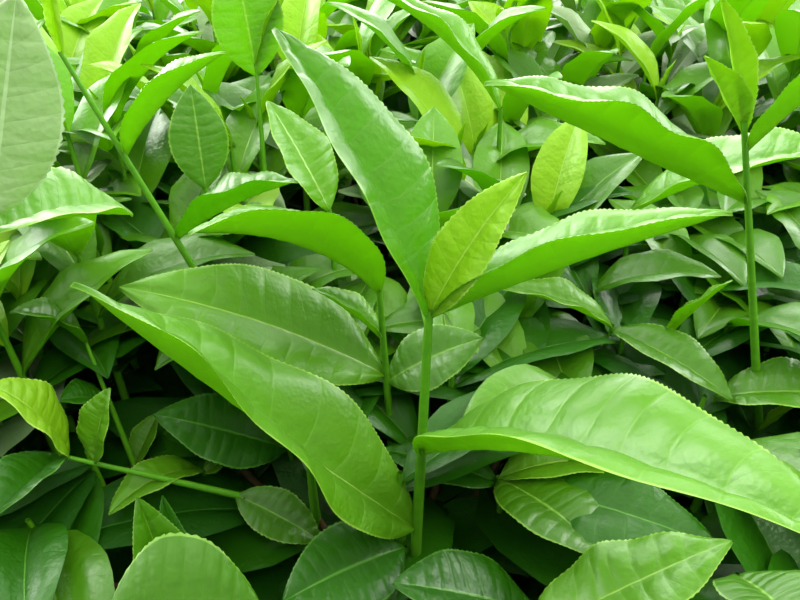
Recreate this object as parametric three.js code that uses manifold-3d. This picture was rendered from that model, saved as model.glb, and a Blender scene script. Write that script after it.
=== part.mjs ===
// Tea bush: a plucked shrub with a short trunk, spreading boughs and a flat table of young shoots.
// Millimetres, +Z up. The origin is the middle of the flat cut under the trunk, at ground level.
// -Y is the front of the bush, where the shoots of PLACED_SHOOTS stand.
import * as THREE from "three";
import { mergeVertices } from "three/addons/utils/BufferGeometryUtils.js";
import Module from "manifold-3d";

const wasm = await Module();
wasm.setup();

// The crown: a flat table with a round shoulder, over a side that pulls in to its foot.
const TABLE_HEIGHT = 690;
const WIDEST_HEIGHT = 450;
const FOLIAGE_FOOT = 300;
const CROWN_RADIUS = 490;
const FOOT_RADIUS = 415;
const SHOULDER_POWER = 3.4;

// How the crown is shared out: one middle mass, a ring of six and a rim of twelve.
const MIDDLE_RADIUS = 130;
const RING_RADIUS = 300;
const RING_COUNT = 6;
const RIM_COUNT = 12;
const FRONT = -90;
const CELL_GAP = 0.6;

// The frame of the bush.
const TRUNK_HEIGHT = 142;
const TRUNK_RADIUS = 37;
const FLARE_RADIUS = 58;
const FLARE_HEIGHT = 55;
const TRUNK_LEAN = 14;
const FORK_SWELL = 0.12;
const GROUND_CUT = 6;
const BOUGH_FOOT_RADIUS = 15;
const BOUGH_TIP_RADIUS = 7;
const BRANCH_FOOT_RADIUS = 9;
const BRANCH_TIP_RADIUS = 5.5;
const BRANCH_START = 0.42;
const JOINT_GAP = 0.3;
const LIMB_SIDES = 6;

// Twigs, shoots and leaves.
const TWIG_RADIUS = 3.4;
const SHOOT_RADIUS = 2.2;
const TWIG_SIDES = 3;
const SHOOT_DEPTH = 56;
const LEAVES_ON_SHOOT = 4;
const LEAF_LENGTH = 104;
const TOP_LEAF_LENGTH = 72;
const LEAF_SLENDERNESS = 0.42;
const LEAF_THICKNESS = 0.018;
const GOLDEN_TURN = 137.5;
const SEAT = 0.985;
const NEXT_TURN = 49;
const TRIES = 7;
const LOW_FRONT = 50;
const CROWDED = 3;
const CROWDED_SHOOTS = 2;
const CROWDED_LEAVES = 3;
const TEST_GROWTH = 0.8;
const WELD = 0.001;

// The dense middle of a mass fills most of its space, and lies this far under the crown's surface.
const CORE_INSET = 30;
const CORE_VARIETY = 40;
const CORE_FILL = 0.97;
const CORE_SQUARENESS = 0.45;
const CORE_ROUNDNESS = 0.75;

// What each kind of mass holds: its hub, its core, its bough's tip and how many shoots it has.
const MIDDLE = {
  hubRadius: 0, hubHeight: 560, coreDepth: 124, coreFoot: 500, coreLean: 0,
  tipRadius: 0, tipHeight: 470, shoots: 4,
};
const RING = {
  hubRadius: 215, hubHeight: 560, coreDepth: 81, coreFoot: 484, coreLean: 0,
  tipRadius: 200, tipHeight: 448, shoots: 4,
};
const RIM = {
  hubRadius: 381, hubHeight: 490, coreDepth: 72, coreFoot: 318, coreLean: 45,
  tipRadius: 330, tipHeight: 312, shoots: 6,
};

// The shoots that stand highest at the front. Each grows from foot to tip, and each of its leaves is
// [share of the shoot, heading, rise, droop, length, width, fold, roll, twist], angles in degrees.
const PLACED_SHOOTS = [
  { foot: [5, -235, 560], tip: [9, -242, 752], leaves: [
    [0.43, -173, 48, -6, 161, 56, 34, 40, -80],
    [0.66, -48, 44, 30, 150, 60, 40, 6, 0],
    [1.0, 146, 61, 10, 96, 46, 36, -10, 0],
    [1.0, -13, 34, 7, 91, 34, 45, 14, 0],
    [0.985, -14, 71, 14, 58, 19, 26, -62, 0]] },
  { foot: [-2, -185, 600], tip: [-8, -190, 724], leaves: [
    [1.0, -160, 56, 50, 80, 42, 46, -24, 0],
    [0.8, 175, 50, 20, 36, 18, 40, -10, 0],
    [0.61, 1, 40, 20, 46, 27, 10, -30, 0],
    [0.64, -175, 38, 22, 112, 46, 16, 24, 0]] },
  { foot: [168, -178, 630], tip: [117, -185, 790], leaves: [
    [1.0, 160, 70, 5, 46, 14, 50, -50, 0],
    [0.97, 170, 54, 0, 32, 16, 40, -40, 0],
    [0.93, -40, 60, 10, 60, 22, 45, 0, 0],
    [0.8, 178, 22, -4, 108, 52, 46, -8, 0]] },
  { foot: [-70, -175, 690], tip: [-112, -180, 812], leaves: [
    [1.0, 100, 80, 0, 30, 8, 60, 0, 0],
    [0.69, 10, 54, 26, 54, 26, 46, 8, 0],
    [0.4, 5, 35, 20, 54, 34, 40, 15, 0]] },
  { foot: [-178, -300, 640], tip: [-100, -266, 800], leaves: [
    [1.0, 42, 68, 0, 54, 27, 10, -60, 0],
    [0.96, 53, -7, 20, 43, 33, 40, -10, 0]] },
  { foot: [-68, -85, 690], tip: [-68, -74, 774], leaves: [
    [1.0, 24, 62, 5, 52, 22, 45, 0, 0],
    [0.93, 131, 83, 5, 55, 34, 22, 20, 0]] },
  { foot: [-66, -220, 641], tip: [-128, -233, 679], leaves: [
    [0.03, -22, -8, 16, 41, 21, 18, -18, 0],
    [0.81, 49, 70, 10, 32, 20, 26, 0, 0],
    [0.97, -103, 18, 10, 37, 26, 40, 0, 0],
    [0.94, -160, 89, 40, 45, 30, 20, 0, 0]] },
  { foot: [-40, -185, 560], tip: [-49, -196, 645], leaves: [
    [1.0, -169, 34, 8, 60, 32, 12, 26, 0]] },
  { foot: [88, -148, 600], tip: [97, -154, 680], leaves: [
    [1.0, 177, 33, 25, 56, 26, 35, -5, 0],
    [0.97, -45, 5, 20, 60, 28, 30, 0, 0]] },
  { foot: [120, -150, 600], tip: [119, -152, 664], leaves: [
    [1.0, -45, 69, 10, 58, 16, 35, 0, 0]] },
  { foot: [50, -205, 560], tip: [41, -214, 646], leaves: [
    [1.0, -50, 20, 30, 58, 38, 14, 8, 0],
    [1.0, 5, 30, 60, 60, 26, 30, 0, 0],
    [0.95, 168, 20, 20, 52, 28, 20, 0, 0],
    [0.95, -29, 18, 20, 89, 40, 10, -6, 0]] },
  { foot: [-78, -268, 540], tip: [-74, -280, 605], leaves: [
    [0.85, 130, 84, 10, 98, 34, 30, 0, 0],
    [0.7, 109, 79, 8, 97, 22, 30, 0, 0],
    [0.9, 32, 79, 30, 55, 30, 20, 0, 0]] },
  { foot: [30, -262, 540], tip: [52, -265, 630], leaves: [
    [1.0, -172, 34, 12, 62, 36, 14, 0, 0]] },
  { foot: [-30, -134, 660], tip: [-31, -134, 729], leaves: [
    [1.0, 142, 56, 8, 54, 34, 22, -10, 0]] },
  { foot: [-86, -118, 640], tip: [-88, -120, 733], leaves: [
    [1.0, 104, 70, 10, 46, 26, 10, -10, 0]] },
  { foot: [54, -55, 660], tip: [51, -60, 747], leaves: [
    [1.0, 158, 55, 40, 92, 34, 38, -10, 0]] },
  { foot: [118, -105, 640], tip: [110, -107, 713], leaves: [
    [1.0, -41, 45, 20, 100, 42, 36, -14, 0]] },
  { foot: [142, -180, 600], tip: [137, -185, 665], leaves: [
    [1.0, -20, 30, 30, 60, 34, 25, 0, 0]] },
  { foot: [-84, -190, 560], tip: [-85, -205, 640], leaves: [
    [1.0, -127, 54, 70, 50, 20, 24, 0, 0],
    [0.97, 37, 15, 5, 11, 9, 20, 0, 0]] },
  { foot: [-118, -196, 630], tip: [-131, -182, 694], leaves: [
    [0.05, 61, 44, 10, 25, 14, 30, 0, 0],
    [0.97, -145, 68, 40, 35, 22, 34, 0, 0],
    [0.55, -137, 47, 30, 22, 22, 20, 0, 0]] },
  { foot: [2, -215, 580], tip: [2, -242, 637], leaves: [
    [1.0, -143, 23, 20, 56, 34, 14, 20, 0]] },
  { foot: [140, -250, 590], tip: [110, -280, 673], leaves: [
    [1.0, -81, 37, 20, 37, 34, 20, 0, 0]] },
  { foot: [175, -150, 590], tip: [161, -185, 644], leaves: [
    [1.0, -21, 62, 0, 24, 9, 30, 0, 0]] },
  { foot: [-100, -285, 560], tip: [-88, -304, 680], leaves: [
    [1.0, 14, 3, 16, 47, 50, 26, -24, 0]] },
  { foot: [34, -270, 540], tip: [38, -297, 663], leaves: [
    [0.97, 9, 40, 16, 74, 36, 8, 10, 0]] },
];

const BARK = new THREE.MeshStandardMaterial({ color: 0x6f6152, roughness: 0.9 });
const FOLIAGE = new THREE.MeshStandardMaterial({ color: 0x4f9a2c, roughness: 0.45 });

const radians = THREE.MathUtils.degToRad;
const UP = new THREE.Vector3(0, 0, 1);

// A point at a radius, bearing and height from the middle of the bush.
function around(radius, bearing, height) {
  const angle = radians(bearing);
  return new THREE.Vector3(radius * Math.cos(angle), radius * Math.sin(angle), height);
}

// Numbers from 0 to 1 that come out the same on every run for the same seeds.
function seeded(...seeds) {
  let state = seeds.reduce((sum, seed) => Math.imul(sum, 1009) + seed, 7);
  return () => {
    state = (state + 0x6d2b79f5) | 0;
    let mixed = Math.imul(state ^ (state >>> 15), 1 | state);
    mixed = (mixed + Math.imul(mixed ^ (mixed >>> 7), 61 | mixed)) ^ mixed;
    return ((mixed ^ (mixed >>> 14)) >>> 0) / 4294967296;
  };
}

// Joins a geometry's shared corners and makes it a closed solid whose faces point out.
function solidOf(geometry) {
  geometry.deleteAttribute("normal");
  geometry.deleteAttribute("uv");
  const merged = mergeVertices(geometry, 1e-4);
  const vertProperties = merged.attributes.position.array;
  const triVerts = new Uint32Array(merged.index.array);
  const made = new wasm.Manifold(new wasm.Mesh({ numProp: 3, vertProperties, triVerts }));
  if (made.volume() > 0) return made;
  for (let i = 0; i < triVerts.length; i += 3) {
    [triVerts[i + 1], triVerts[i + 2]] = [triVerts[i + 2], triVerts[i + 1]];
  }
  return new wasm.Manifold(new wasm.Mesh({ numProp: 3, vertProperties, triVerts }));
}

// Moves every corner of a geometry to where place(corner) puts it.
function shaped(geometry, place) {
  const position = geometry.attributes.position;
  const corner = new THREE.Vector3();
  for (let i = 0; i < position.count; i += 1) {
    const moved = place(corner.fromBufferAttribute(position, i));
    position.setXYZ(i, moved.x, moved.y, moved.z);
  }
  return geometry;
}

// A round limb that follows a curve, with its radius given along it.
function limbSolid(curve, radiusAt, sides, steps) {
  const rod = new THREE.CylinderGeometry(1, 1, 1, sides, steps);
  return solidOf(shaped(rod, (corner) => {
    const share = corner.y + 0.5;
    const ahead = curve.getTangent(share);
    const side = new THREE.Vector3(1, 0, 0).addScaledVector(ahead, -ahead.x).normalize();
    const over = new THREE.Vector3().crossVectors(side, ahead);
    const radius = radiusAt(share);
    return curve.getPoint(share)
      .addScaledVector(side, corner.x * radius)
      .addScaledVector(over, corner.z * radius);
  }));
}

// Where a leaf's midrib and edges are at a share of its length.
function leafPlace(leaf, share) {
  const bends = 8;
  const mid = leaf.base.clone();
  const ahead = new THREE.Vector3();
  for (let i = 0; i <= bends; i += 1) {
    const passed = (i / bends) * share;
    const rise = radians(leaf.rise - leaf.droop * passed);
    const heading = radians(leaf.heading);
    ahead.set(Math.cos(rise) * Math.cos(heading), Math.cos(rise) * Math.sin(heading), Math.sin(rise));
    const weight = i === 0 || i === bends ? 0.5 : 1;
    mid.addScaledVector(ahead, (leaf.length * share * weight) / bends);
  }
  const flatSide = new THREE.Vector3().crossVectors(ahead, UP).normalize();
  const flatOver = new THREE.Vector3().crossVectors(flatSide, ahead);
  const roll = radians(leaf.roll + leaf.twist * share);
  const side = flatSide.clone().multiplyScalar(Math.cos(roll)).addScaledVector(flatOver, Math.sin(roll));
  const over = flatOver.clone().multiplyScalar(Math.cos(roll)).addScaledVector(flatSide, -Math.sin(roll));
  const half = (leaf.width / 2) * Math.sin(Math.PI * share ** 0.9) ** 0.85;
  return { mid, side, over, half };
}

// A closed blade, folded up along its midrib. grow makes it a little fatter, for tests of clearance.
function leafSolid(leaf, steps, grow = 0) {
  const outline = [new THREE.Vector2(0, 0)];
  for (let i = 1; i < steps; i += 1) outline.push(new THREE.Vector2(1, i / steps));
  outline.push(new THREE.Vector2(0, 1));
  const fold = radians(leaf.fold);
  const thick = leaf.length * LEAF_THICKNESS;
  return solidOf(shaped(new THREE.LatheGeometry(outline, 4), (corner) => {
    const { mid, side, over, half } = leafPlace(leaf, corner.y);
    const reach = half + grow;
    return mid
      .addScaledVector(side, corner.x * reach * Math.cos(fold))
      .addScaledVector(over, Math.abs(corner.x) * reach * Math.sin(fold))
      .addScaledVector(over, corner.z * (thick / 2 + grow));
  }));
}

// The crown's outline from its middle, over the shoulder, to its foot, with the area that it sweeps.
function crownOutline() {
  const steps = 240;
  const turn = 130;
  const places = [];
  let area = 0;
  for (let i = 0; i <= steps; i += 1) {
    const angle = (i / steps) * turn;
    const below = Math.max(0, (angle - 90) / (turn - 90));
    const a = radians(Math.min(angle, 90));
    const power = 2 / SHOULDER_POWER;
    const rise = (TABLE_HEIGHT - WIDEST_HEIGHT) * Math.max(0, Math.cos(a)) ** power;
    const radius = CROWN_RADIUS * Math.sin(a) ** power - (CROWN_RADIUS - FOOT_RADIUS) * below ** 1.5;
    const height = WIDEST_HEIGHT + rise - (WIDEST_HEIGHT - FOLIAGE_FOOT) * below;
    if (i > 0) {
      const last = places[i - 1];
      const length = Math.hypot(radius - last.radius, height - last.height);
      area += (length * (radius + last.radius)) / 2;
    }
    places.push({ radius, height, area });
  }
  return places;
}

const OUTLINE = crownOutline();
const WHOLE_AREA = OUTLINE[OUTLINE.length - 1].area;

// The outline's point at a share of its area, with the way out of the crown there.
function crownPlace(share) {
  const wanted = share * WHOLE_AREA;
  let i = 1;
  while (i < OUTLINE.length - 1 && OUTLINE[i].area < wanted) i += 1;
  const a = OUTLINE[i - 1];
  const b = OUTLINE[i];
  const part = THREE.MathUtils.clamp((wanted - a.area) / (b.area - a.area), 0, 1);
  const length = Math.hypot(b.radius - a.radius, b.height - a.height);
  return {
    radius: THREE.MathUtils.lerp(a.radius, b.radius, part),
    height: THREE.MathUtils.lerp(a.height, b.height, part),
    outward: (a.height - b.height) / length,
    upward: (b.radius - a.radius) / length,
  };
}

// The share of the crown's area that lies within a radius on its table.
function shareWithin(radius) {
  return OUTLINE.find((place) => place.radius >= radius).area / WHOLE_AREA;
}

// Every mass with its own space: a span of bearings and of radii. The front of the rim stands low.
function crownMasses() {
  const masses = [{
    ...MIDDLE, name: "foliage_middle", bearing: FRONT, spread: 180,
    inner: 0, outer: MIDDLE_RADIUS, from: 0, to: shareWithin(MIDDLE_RADIUS),
  }];
  for (let i = 0; i < RING_COUNT; i += 1) {
    masses.push({
      ...RING, name: `foliage_ring_${i + 1}`, bearing: FRONT + (i * 360) / RING_COUNT,
      spread: 180 / RING_COUNT, inner: MIDDLE_RADIUS, outer: RING_RADIUS,
      from: shareWithin(MIDDLE_RADIUS), to: shareWithin(RING_RADIUS),
    });
  }
  for (let i = 0; i < RIM_COUNT; i += 1) {
    masses.push({
      ...RIM, name: `foliage_rim_${i + 1}`, bearing: FRONT + ((i + 0.5) * 360) / RIM_COUNT,
      spread: 180 / RIM_COUNT, inner: RING_RADIUS, outer: 2 * CROWN_RADIUS,
      from: shareWithin(RING_RADIUS), to: 1,
    });
  }
  return masses.map((mass, seed) => {
    const low = mass.inner === RING_RADIUS && Math.abs(turnFrom(mass, around(1, FRONT, 0))) < LOW_FRONT;
    return { ...mass, seed, low, leaves: LEAVES_ON_SHOOT };
  });
}

// The turn from a mass's middle bearing to a point, from -180 to 180 degrees.
function turnFrom(mass, point) {
  const bearing = THREE.MathUtils.radToDeg(Math.atan2(point.y, point.x));
  return THREE.MathUtils.euclideanModulo(bearing - mass.bearing + 180, 360) - 180;
}

// True if a point is inside a mass's space, clear of the walls that it shares with its neighbours.
function inSpace(mass, point, gap = CELL_GAP) {
  const radius = Math.hypot(point.x, point.y);
  if (radius > mass.outer - gap) return false;
  if (mass.inner > 0 && radius < mass.inner + gap) return false;
  if (mass.spread === 180) return true;
  const turn = Math.abs(turnFrom(mass, point));
  return turn < mass.spread && radius * Math.sin(radians(mass.spread - turn)) > gap;
}

// True if every corner of a solid is inside a mass's space.
function staysInside(mass, solid) {
  const { vertProperties, numProp, numVert } = solid.getMesh();
  const point = new THREE.Vector3();
  for (let i = 0; i < numVert; i += 1) {
    point.fromArray(vertProperties, i * numProp);
    if (!inSpace(mass, point)) return false;
  }
  return true;
}

const touches = (a, b) => !a.intersect(b).isEmpty();

// The trunk leans a little to one side, flares at the foot, and is cut flat at ground level.
const TRUNK_CURVE = new THREE.CatmullRomCurve3([
  new THREE.Vector3(0, 0, -GROUND_CUT),
  new THREE.Vector3(0, 0, TRUNK_HEIGHT * 0.3),
  new THREE.Vector3(TRUNK_LEAN * 0.5, 0, TRUNK_HEIGHT * 0.65),
  new THREE.Vector3(TRUNK_LEAN, 0, TRUNK_HEIGHT),
]);

function trunkSolid(grow) {
  const ground = new THREE.BoxGeometry(4 * FLARE_RADIUS, 4 * FLARE_RADIUS, 4 * GROUND_CUT);
  return limbSolid(TRUNK_CURVE, (share) => {
    const height = Math.max(0, TRUNK_CURVE.getPoint(share).z);
    const flare = Math.max(0, 1 - height / FLARE_HEIGHT) ** 2;
    const swell = 1 + FORK_SWELL * Math.sin(Math.PI * Math.max(0, share - 0.45));
    const crown = share > 0.97 ? 0.8 : 1;
    return (TRUNK_RADIUS * swell + (FLARE_RADIUS - TRUNK_RADIUS) * flare) * crown + grow;
  }, 10, 7).subtract(solidOf(ground.translate(0, 0, -2 * GROUND_CUT)));
}

// A bough rises from the trunk's head to the underside of its mass, with a few bends of its own.
function boughCurve(mass) {
  const random = seeded(mass.seed, 1);
  const wander = () => 14 * (random() - 0.5);
  const head = TRUNK_CURVE.getPoint(0.66);
  const points = [head];
  const out = Math.max(mass.tipRadius, 1) / RING.tipRadius;
  for (const [radius, height] of [[58, 160], [108, 236], [158, 340]]) {
    const bend = around(radius * out, mass.bearing, height);
    const lean = TRUNK_LEAN * (1 - radius / RING.tipRadius);
    points.push(bend.add(new THREE.Vector3(lean + wander(), wander(), wander())));
  }
  points.push(around(mass.tipRadius, mass.bearing, mass.tipHeight));
  return new THREE.CatmullRomCurve3(points);
}

// A branch leaves its bough part of the way up, and ends under a mass of the rim.
function branchCurve(mass, bough) {
  const random = seeded(mass.seed, 1);
  const start = bough.getPoint(BRANCH_START + 0.1 * random());
  const end = around(mass.tipRadius, mass.bearing, mass.tipHeight);
  const bend = start.clone().lerp(end, 0.5);
  bend.z -= 12 + 10 * random();
  return new THREE.CatmullRomCurve3([start, bend, end]);
}

const taper = (foot, tip, grow = 0) => (share) => foot + (tip - foot) * share + grow;

// The short stem of a mass runs on from its bough's tip, a joint's gap away, to the hub.
function stemSolid(mass, curve, tipRadius) {
  const way = curve.getTangent(1);
  const start = curve.getPoint(1).addScaledVector(way, JOINT_GAP);
  const hub = around(mass.hubRadius, mass.bearing, mass.hubHeight);
  const bend = start.clone().addScaledVector(way, start.distanceTo(hub) * 0.4);
  const path = new THREE.QuadraticBezierCurve3(start, bend, hub);
  return limbSolid(path, taper(tipRadius, tipRadius), 6, 2);
}

// The height of the crown's upper surface at a radius.
function crownTop(radius) {
  const share = Math.min(1, radius / CROWN_RADIUS);
  const rise = (1 - share ** SHOULDER_POWER) ** (1 / SHOULDER_POWER);
  return WIDEST_HEIGHT + (TABLE_HEIGHT - WIDEST_HEIGHT) * rise;
}

// The dense middle of a mass: a block with round edges that its shoots and leaves stand out of.
function coreSolid(mass) {
  const full = (value, power) => (Math.abs(value) < 1e-6 ? 0 : Math.sign(value) * Math.abs(value) ** power);
  const random = seeded(mass.seed);
  const foot = mass.coreFoot + CORE_VARIETY * random();
  const inset = CORE_INSET + (CORE_VARIETY / 4) * random();
  return solidOf(shaped(new THREE.SphereGeometry(1, 8, 6), (corner) => {
    const plan = Math.max(1e-6, Math.hypot(corner.x, corner.z));
    const ring = full(plan - 1e-6, CORE_ROUNDNESS);
    const height = (full(corner.y, CORE_ROUNDNESS) + 1) / 2;
    let radius = mass.hubRadius + mass.coreDepth * ring * full(corner.x / plan, CORE_SQUARENESS);
    let bearing = mass.bearing + mass.spread * CORE_FILL * ring * full(corner.z / plan, CORE_SQUARENESS);
    if (mass.hubRadius === 0) {
      radius = mass.coreDepth * ring;
      bearing = THREE.MathUtils.radToDeg(Math.atan2(corner.z, corner.x));
    }
    const top = crownTop(radius) - inset;
    return around(radius - mass.coreLean * (1 - height), bearing, THREE.MathUtils.lerp(foot, top, height));
  }));
}

const shootSolid = (from, to, grow = 0) => {
  return limbSolid(new THREE.LineCurve3(from, to), taper(TWIG_RADIUS, SHOOT_RADIUS, grow), TWIG_SIDES, 1);
};

// A placed shoot stands straight from foot to tip, on a twig from the hub.
function placedShootSolid(mass, shoot) {
  const foot = new THREE.Vector3(...shoot.foot);
  const tip = new THREE.Vector3(...shoot.tip);
  const hub = around(mass.hubRadius, mass.bearing, mass.hubHeight);
  const twig = limbSolid(new THREE.LineCurve3(hub, foot), taper(TWIG_RADIUS, TWIG_RADIUS), 4, 1);
  const sunk = foot.clone().lerp(hub, 0.1);
  let solid = twig.add(limbSolid(new THREE.LineCurve3(sunk, tip), taper(TWIG_RADIUS, SHOOT_RADIUS), 4, 1));
  for (const [share, heading, rise, droop, length, width, fold, roll, twist] of shoot.leaves) {
    const base = foot.clone().lerp(tip, Math.min(share, SEAT));
    solid = solid.add(leafSolid({ base, heading, rise, droop, length, width, fold, roll, twist }, 3));
  }
  return solid;
}

// The i-th shoot of a mass: an even, seeded spread over its part of the crown's surface.
function freeShoot(mass, i) {
  const random = seeded(mass.seed, i, 2);
  const along = (0.5 + i * 0.7548776662) % 1;
  const down = (0.5 + i * 0.569840291) % 1;
  const place = crownPlace(mass.from + (mass.to - mass.from) * (0.05 + 0.9 * down));
  const bearing = mass.bearing + mass.spread * 0.84 * (2 * along - 1);
  const outward = around(place.outward, bearing, place.upward);
  const surface = around(place.radius, bearing, place.height);
  const onTable = place.upward > 0.7;
  let rise = 22 * random();
  if (onTable) rise = mass.low ? 16 * (rise / 22) - 22 : 8 + 62 * (rise / 22);
  const way = outward.clone().addScaledVector(UP, onTable ? 0.7 : 0.3).normalize();
  const depth = SHOOT_DEPTH + mass.coreLean;
  const foot = surface.clone().addScaledVector(way, -depth);
  const tip = foot.clone().addScaledVector(way, depth + rise);
  const bare = (depth - CORE_INSET) / (depth + rise);
  const turn = 360 * random();
  return { foot, tip, bearing, bare, turn, open: onTable ? 1 : 0.75, climb: mass.low ? -6 : 22 };
}

// The j-th leaf of a free shoot, turned on from the one below it.
function freeLeaf(mass, shoot, i, j, attempt) {
  const random = seeded(mass.seed, i, j + 3, attempt);
  const up = j / (LEAVES_ON_SHOOT - 1);
  const turned = shoot.turn + j * GOLDEN_TURN + attempt * NEXT_TURN;
  const turn = THREE.MathUtils.euclideanModulo(turned, 360) - 180;
  const length = THREE.MathUtils.lerp(LEAF_LENGTH, TOP_LEAF_LENGTH, up) * (0.9 + 0.2 * random());
  return {
    base: shoot.foot.clone().lerp(shoot.tip, THREE.MathUtils.lerp(shoot.bare, SEAT, up)),
    heading: shoot.bearing + shoot.open * turn,
    rise: shoot.climb + 39 * up + 12 * random(),
    droop: 34 + 16 * random(),
    length,
    width: length * LEAF_SLENDERNESS,
    fold: 22 + 14 * random(),
    roll: 20 * (random() - 0.5),
    twist: 0,
  };
}

// True if a leaf or twig keeps inside its mass's space, and clear of limbs and placed shoots.
function fits(mass, grown, obstacles) {
  return staysInside(mass, grown) && !touches(grown, obstacles);
}

// The outer part of a leaf, a little fatter, to see whether it would cross another one.
function leafTest(leaf) {
  const from = 0.2;
  const outer = {
    ...leaf,
    base: leafPlace(leaf, from).mid,
    rise: leaf.rise - leaf.droop * from,
    droop: leaf.droop * (1 - from),
    length: leaf.length * (1 - from),
  };
  return leafSolid(outer, 2, TEST_GROWTH);
}

// One mass: stem, core, placed shoots, and free shoots whose leaves keep inside its space.
function massSolid(mass, stem, placed, obstacles, leftOut) {
  let solid = placed.add(stem);
  for (let i = 0; i < mass.shoots; i += 1) {
    const shoot = freeShoot(mass, i);
    if (i === leftOut || !fits(mass, shootSolid(shoot.foot, shoot.tip, TEST_GROWTH), obstacles)) continue;
    solid = solid.add(shootSolid(shoot.foot, shoot.tip));
    for (let j = 0; j < mass.leaves; j += 1) {
      for (let attempt = 0; attempt < TRIES; attempt += 1) {
        const leaf = freeLeaf(mass, shoot, i, j, attempt);
        if (!fits(mass, leafSolid(leaf, 2, TEST_GROWTH), obstacles)) continue;
        if (touches(leafTest(leaf), solid)) continue;
        solid = solid.add(leafSolid(leaf, 2));
        break;
      }
    }
  }
  return largestBody(solid);
}

// True if the solid stays closed when corners that all but touch are welded into one.
function weldsClosed(solid) {
  const { vertProperties, numProp, triVerts } = solid.getMesh();
  const welded = (vertex) => {
    const at = vertex * numProp;
    return [0, 1, 2].map((axis) => Math.round(vertProperties[at + axis] / WELD)).join();
  };
  const edges = new Set();
  let faces = 0;
  for (let i = 0; i < triVerts.length; i += 3) {
    const corners = [0, 1, 2].map((k) => welded(triVerts[i + k]));
    if (new Set(corners).size < 3) continue;
    faces += 1;
    corners.forEach((corner, k) => edges.add(`${corner} ${corners[(k + 1) % 3]}`));
  }
  const paired = [...edges].every((edge) => edges.has(edge.split(" ").reverse().join(" ")));
  return paired && edges.size === faces * 3;
}

// Drops any loose scrap that a cut or a join has left.
function largestBody(solid) {
  return solid.decompose().reduce((a, b) => (a.volume() > b.volume() ? a : b));
}

const bush = new THREE.Group();

function addMesh(name, solid, material) {
  const { vertProperties, numProp, numVert, triVerts } = solid.getMesh();
  const position = new Float32Array(numVert * 3);
  for (let i = 0; i < numVert; i += 1) {
    position.set(vertProperties.subarray(i * numProp, i * numProp + 3), i * 3);
  }
  const geometry = new THREE.BufferGeometry();
  geometry.setAttribute("position", new THREE.BufferAttribute(position, 3));
  geometry.setIndex(new THREE.BufferAttribute(triVerts, 1));
  geometry.computeVertexNormals();
  const mesh = new THREE.Mesh(geometry, material);
  mesh.name = name;
  bush.add(mesh);
}

// The frame first: trunk, boughs and branches. Each limb is cut clear of those made before it.
const masses = crownMasses();
let made = wasm.Manifold.union([]);
let limbs = wasm.Manifold.union([]);

function addLimb(name, solidAt) {
  addMesh(name, largestBody(solidAt(0).subtract(made)), BARK);
  made = made.add(solidAt(JOINT_GAP));
  limbs = limbs.add(solidAt(TEST_GROWTH));
}

addLimb("trunk", trunkSolid);
for (const mass of masses.filter((m) => m.outer <= RING_RADIUS)) {
  mass.curve = boughCurve(mass);
  mass.limbTip = BOUGH_TIP_RADIUS;
  addLimb(mass.name.replace("foliage", "bough"), (grow) => {
    return limbSolid(mass.curve, taper(BOUGH_FOOT_RADIUS, BOUGH_TIP_RADIUS, grow), LIMB_SIDES, 5);
  });
}
for (const [i, mass] of masses.filter((m) => m.outer > RING_RADIUS).entries()) {
  const carrier = masses[1 + (Math.floor((i + 1) / 2) % RING_COUNT)];
  mass.curve = branchCurve(mass, carrier.curve);
  mass.limbTip = BRANCH_TIP_RADIUS;
  addLimb(mass.name.replace("foliage_rim", "branch"), (grow) => {
    return limbSolid(mass.curve, taper(BRANCH_FOOT_RADIUS, BRANCH_TIP_RADIUS, grow), LIMB_SIDES, 4);
  });
}

// Then the foliage. A placed shoot belongs to the mass whose space holds its foot, and a mass that
// is crowded with them has fewer and lower free shoots.
for (const mass of masses) {
  mass.placed = PLACED_SHOOTS
    .filter((shoot) => inSpace(mass, new THREE.Vector3(...shoot.foot), 0))
    .map((shoot) => placedShootSolid(mass, shoot));
  if (mass.placed.length < CROWDED) continue;
  mass.shoots = CROWDED_SHOOTS;
  mass.leaves = CROWDED_LEAVES;
  mass.low = true;
}
for (const mass of masses) {
  const placed = mass.placed.reduce((a, b) => a.add(b), coreSolid(mass));
  const others = masses.filter((m) => m !== mass).flatMap((m) => m.placed);
  const obstacles = others.reduce((a, b) => a.add(b), limbs);
  const stem = stemSolid(mass, mass.curve, mass.limbTip);
  let foliage = massSolid(mass, stem, placed, obstacles, mass.shoots);
  for (let leftOut = mass.shoots - 1; leftOut >= 0 && !weldsClosed(foliage); leftOut -= 1) {
    foliage = massSolid(mass, stem, placed, obstacles, leftOut);
  }
  addMesh(mass.name, foliage, FOLIAGE);
}
export default bush;
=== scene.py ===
import math

import bpy
import numpy as np
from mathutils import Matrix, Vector, kdtree, noise


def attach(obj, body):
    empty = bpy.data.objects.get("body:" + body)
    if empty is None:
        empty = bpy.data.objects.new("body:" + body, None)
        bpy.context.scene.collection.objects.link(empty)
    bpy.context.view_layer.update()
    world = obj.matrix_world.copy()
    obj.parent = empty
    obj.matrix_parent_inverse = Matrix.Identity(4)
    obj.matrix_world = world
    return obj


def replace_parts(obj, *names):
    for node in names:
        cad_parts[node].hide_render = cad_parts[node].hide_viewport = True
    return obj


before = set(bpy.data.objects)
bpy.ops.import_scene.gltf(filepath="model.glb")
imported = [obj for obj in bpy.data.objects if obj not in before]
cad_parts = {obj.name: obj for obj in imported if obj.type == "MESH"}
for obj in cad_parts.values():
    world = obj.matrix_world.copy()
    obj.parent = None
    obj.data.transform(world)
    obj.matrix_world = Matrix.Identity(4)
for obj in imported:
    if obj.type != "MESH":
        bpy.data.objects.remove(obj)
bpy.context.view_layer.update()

# The growth rule works in millimetres, as the solids were drawn; every mesh is made in metres.
MM = 0.001

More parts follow.
